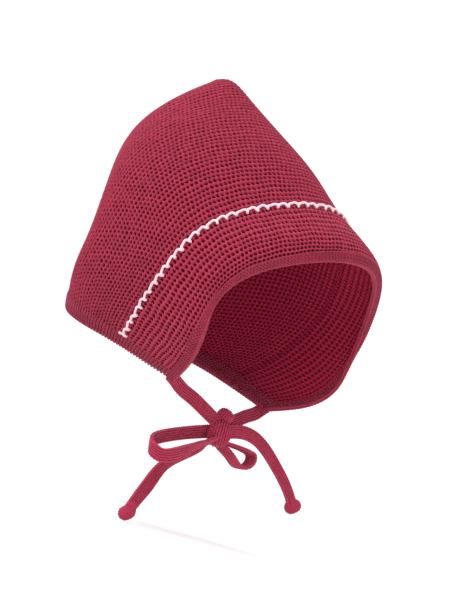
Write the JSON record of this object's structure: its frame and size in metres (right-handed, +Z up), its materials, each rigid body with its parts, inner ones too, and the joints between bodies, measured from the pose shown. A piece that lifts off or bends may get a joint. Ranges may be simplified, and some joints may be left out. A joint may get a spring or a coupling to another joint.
{
  "type": "baby bonnet",
  "caption": "Knitted pixie bonnet for a baby, peaked at the back, with a ribbed neck band and flat knitted ties in a bow under the chin.",
  "frame": {"origin": "inside the crown, 30 mm behind and 130 mm above the middle between the two chin corners, where the top of the wearer's head holds the bonnet", "axes": "+Z up, -Y the way the wearer looks, +X to the wearer's left; the cap is the same on both sides of X = 0, the bow is not"},
  "size_m": [0.15, 0.202, 0.2807],
  "materials": {
    "knitted_cloth": "soft matt wool, raspberry red, purl ridges along the face opening",
    "ribbed_band": "soft matt wool, raspberry red, fine upright ribs",
    "tie_band": "soft matt wool, raspberry red, fine lengthwise ribs"
  },
  "bodies": {
    "root": {"crown": "knitted_cloth", "front_panel": "knitted_cloth", "face_edging": "knitted_cloth", "neck_band": "ribbed_band", "tie_right": "tie_band", "tie_left": "tie_band", "bow_knot": "tie_band", "bow_loop_right": "tie_band", "bow_loop_left": "tie_band", "tie_end_right": "tie_band", "tie_end_left": "tie_band", "end_knot_right": "tie_band", "end_knot_left": "tie_band"}
  },
  "joints": []
}
